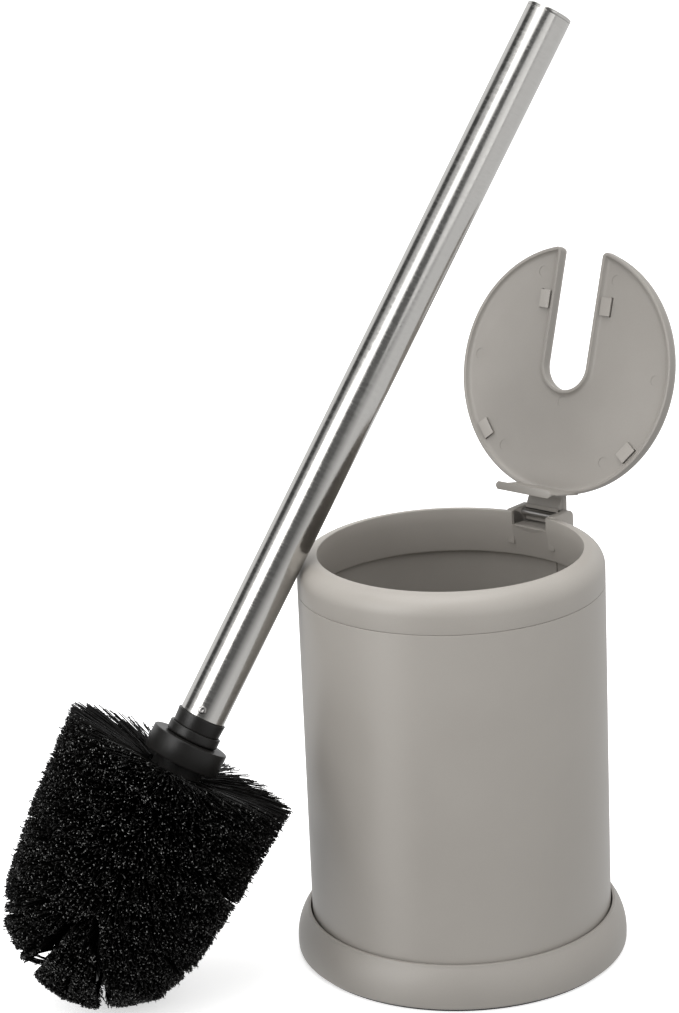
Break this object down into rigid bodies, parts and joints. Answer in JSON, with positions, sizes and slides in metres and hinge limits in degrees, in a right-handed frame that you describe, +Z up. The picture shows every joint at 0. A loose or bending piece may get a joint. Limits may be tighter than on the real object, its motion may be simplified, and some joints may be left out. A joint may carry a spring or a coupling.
{
  "type": "toilet brush holder",
  "caption": "Round canister on a flared base with a hinged, slotted lid, and a toilet brush with a long steel handle leaning on its rim.",
  "frame": {"origin": "centre of the base's underside, on the floor", "axes": "+Z up; +Y towards the lid's hinge at the back; +X along the hinge pin, to the right seen from the front"},
  "size_m": [0.1556, 0.2165, 0.3122],
  "materials": {
    "painted_steel": "satin",
    "greige_plastic": "satin",
    "brushed_steel": "brushed",
    "black_plastic": "satin",
    "bristle_nylon": "satin",
    "foot_rubber": "matte",
    "pin_steel": "smooth"
  },
  "bodies": {
    "holder": {"canister_body": "painted_steel", "canister_floor": "painted_steel", "base_pan": "greige_plastic", "foot_disc": "foot_rubber", "top_collar": "greige_plastic", "hinge_pin": "pin_steel"},
    "lid": {"lid_shell": "greige_plastic", "lid_cover": "painted_steel"},
    "brush": {"handle_tube": "brushed_steel", "handle_cap": "brushed_steel", "handle_plug": "black_plastic", "plug_rivets": "pin_steel", "head_core": "black_plastic", "head_stud": "pin_steel", "tuft_staples": "pin_steel", "bristle_row_1": "bristle_nylon", "bristle_row_2": "bristle_nylon", "bristle_row_3": "bristle_nylon", "bristle_row_4": "bristle_nylon", "bristle_row_5": "bristle_nylon", "bristle_row_6": "bristle_nylon", "bristle_row_7": "bristle_nylon", "bristle_row_8": "bristle_nylon"}
  },
  "joints": [
    {"name": "lid_hinge", "type": "hinge", "parent": "holder", "child": "lid", "pos_m": [0, 0.0496, 0.1382], "axis": [1, 0, 0], "range_deg": [0, 106.7]},
    {"name": "brush_lift", "type": "slide", "parent": "holder", "child": "brush", "axis": [0, 0, 1], "range_m": [0, 0.2]}
  ],
  "couplings": [
    {"joint": "brush_lift", "follows": "lid_hinge", "m_per_rad": 0.1073}
  ]
}
